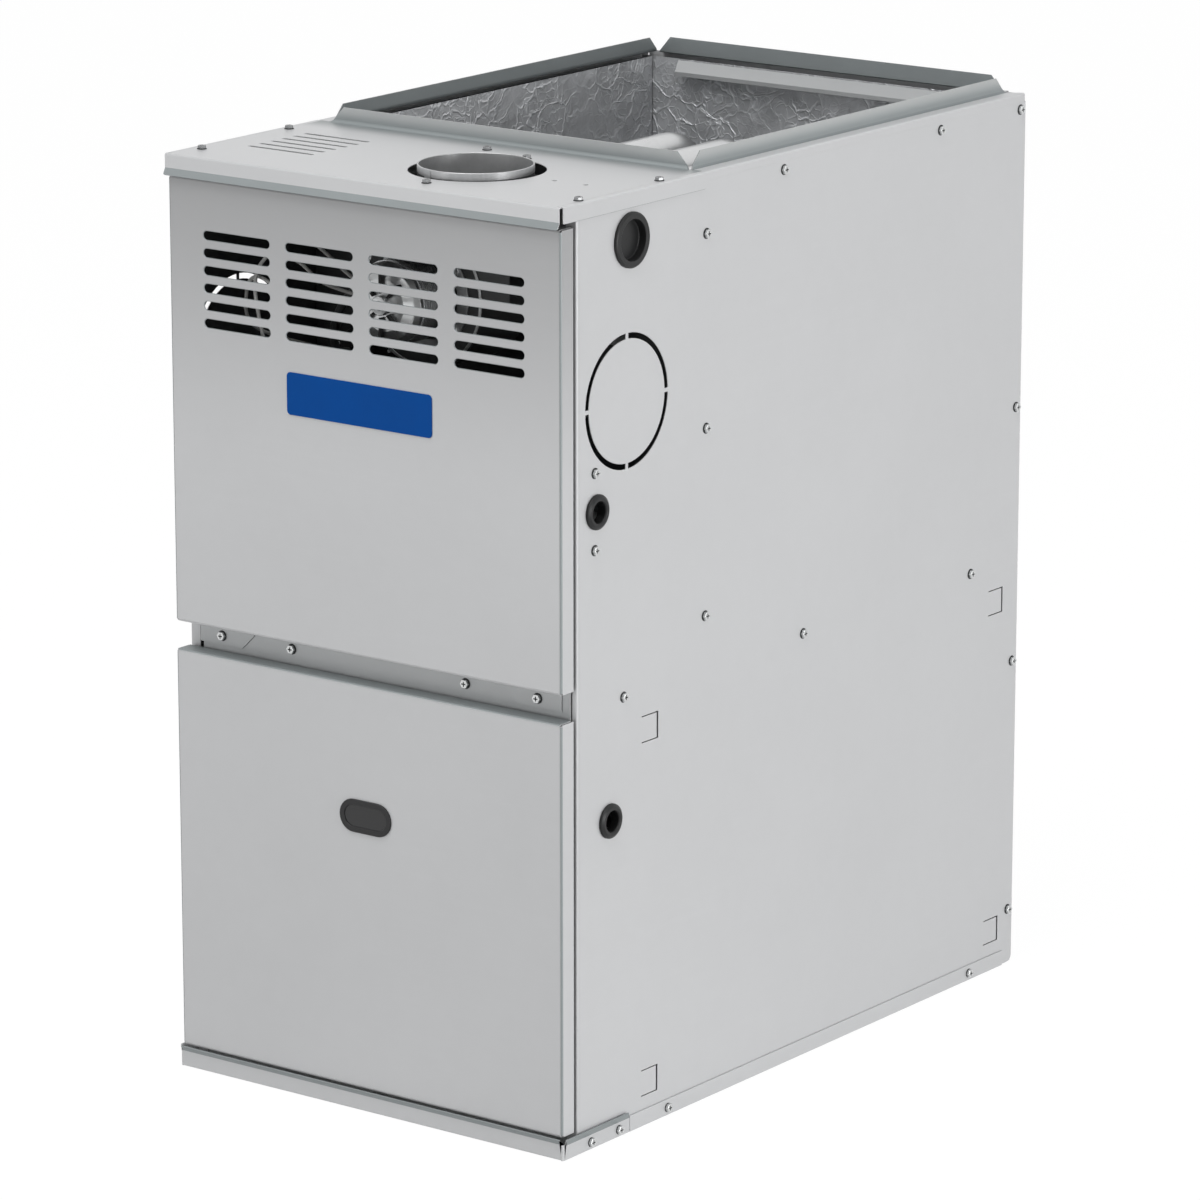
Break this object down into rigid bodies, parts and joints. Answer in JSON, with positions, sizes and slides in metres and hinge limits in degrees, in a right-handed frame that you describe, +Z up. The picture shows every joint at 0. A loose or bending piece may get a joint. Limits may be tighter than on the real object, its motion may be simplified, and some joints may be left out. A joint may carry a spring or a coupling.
{
  "type": "forced air gas furnace",
  "caption": "Upright sheet-metal gas furnace with two lift-off doors, louvres, flue collar, tube heat exchanger, burners, blower and a flanged supply-air outlet on top.",
  "frame": {"origin": "middle of the footprint, on the surface that the base stands on", "axes": "+Z up, +X to the right as seen from the doors, +Y from the doors to the back"},
  "size_m": [0.453, 0.7376, 0.8786],
  "materials": {
    "cabinet_paint": "satin silver-grey prepainted sheet steel",
    "galvanised": "dull galvanised sheet",
    "foil": "crinkled foil facing on insulation",
    "tube_steel": "aluminised steel tube",
    "bright_steel": "brushed bright steel",
    "black_rubber": "matt black rubber",
    "black_plastic": "matt black moulded plastic",
    "dark_metal": "black painted steel",
    "cast_aluminium": "sand-cast aluminium",
    "brass": "dull brass",
    "blue_plate": "bare blue plate, satin",
    "board_green": "circuit board lacquer",
    "ceramic": "unglazed ceramic",
    "grey_rubber": "grey rubber hose"
  },
  "bodies": {
    "cabinet": {"left_side_panel": "cabinet_paint", "right_side_panel": "cabinet_paint", "back_panel": "cabinet_paint", "top_plate": "cabinet_paint", "base_pan": "galvanised", "toe_plate": "cabinet_paint", "left_base_rail": "cabinet_paint", "right_base_rail": "cabinet_paint", "blower_deck": "galvanised", "left_latch_tab": "galvanised", "right_latch_tab": "galvanised", "vestibule_panel": "galvanised", "left_liner": "foil", "right_liner": "foil", "back_liner": "foil", "rear_deflector": "cabinet_paint", "exchanger_tube_1": "tube_steel", "exchanger_tube_2": "tube_steel", "exchanger_tube_3": "tube_steel", "exchanger_tube_4": "tube_steel", "collector_box": "galvanised", "inducer_housing": "bright_steel", "inducer_motor": "bright_steel", "flue_collar": "bright_steel", "burner_1": "galvanised", "burner_2": "galvanised", "burner_3": "galvanised", "burner_4": "galvanised", "burner_box": "galvanised", "gas_manifold": "dark_metal", "gas_valve": "cast_aluminium", "hot_surface_igniter": "ceramic", "flame_sensor": "ceramic", "limit_switch": "black_plastic", "rollout_switch": "black_plastic", "pressure_switch": "black_plastic", "pressure_hose": "grey_rubber", "junction_box": "galvanised", "control_panel": "galvanised", "control_board": "board_green", "transformer": "dark_metal", "door_switch": "black_plastic", "blower_housing": "galvanised", "blower_motor": "dark_metal", "motor_mount": "galvanised", "run_capacitor": "bright_steel", "right_hole_plug": "black_plastic", "right_line_grommet": "black_rubber", "right_low_grommet": "black_rubber", "left_hole_plug": "black_plastic", "left_line_grommet": "black_rubber"},
    "burner_door": {"upper_door": "cabinet_paint", "nameplate": "blue_plate"},
    "blower_door": {"lower_door": "cabinet_paint", "sight_window": "black_plastic"},
    "blower_rotor": {"blower_wheel": "galvanised"},
    "inducer_rotor": {"inducer_wheel": "galvanised"},
    "valve_knob": {"gas_valve_knob": "black_plastic"},
    "reset_button": {"rollout_reset_button": "brass"},
    "switch_plunger": {"door_switch_plunger": "ceramic"}
  },
  "joints": [
    {"name": "upper_door_pull", "type": "slide", "parent": "cabinet", "child": "burner_door", "axis": [0, -1, 0], "range_m": [0, 0.3]},
    {"name": "lower_door_pull", "type": "slide", "parent": "cabinet", "child": "blower_door", "axis": [0, -1, 0], "range_m": [0, 0.3]},
    {"name": "blower_spin", "type": "hinge", "parent": "cabinet", "child": "blower_rotor", "pos_m": [0, 0.03275, 0.2], "axis": [1, 0, 0], "continuous": true},
    {"name": "inducer_spin", "type": "hinge", "parent": "cabinet", "child": "inducer_rotor", "pos_m": [0, -0.24425, 0.746], "axis": [0, 1, 0], "continuous": true},
    {"name": "gas_valve_turn", "type": "hinge", "parent": "cabinet", "child": "valve_knob", "pos_m": [0.17, -0.27425, 0.552], "axis": [0, 0, 1], "range_deg": [0, 90]},
    {"name": "rollout_reset_press", "type": "slide", "parent": "cabinet", "child": "reset_button", "axis": [0, 1, 0], "range_m": [0, 0.0015], "stiffness_N_per_m": 400, "springref_m": -0.001},
    {"name": "door_switch_press", "type": "slide", "parent": "cabinet", "child": "switch_plunger", "axis": [0, 1, 0], "range_m": [0, 0.005], "stiffness_N_per_m": 300, "springref_m": -0.003}
  ]
}
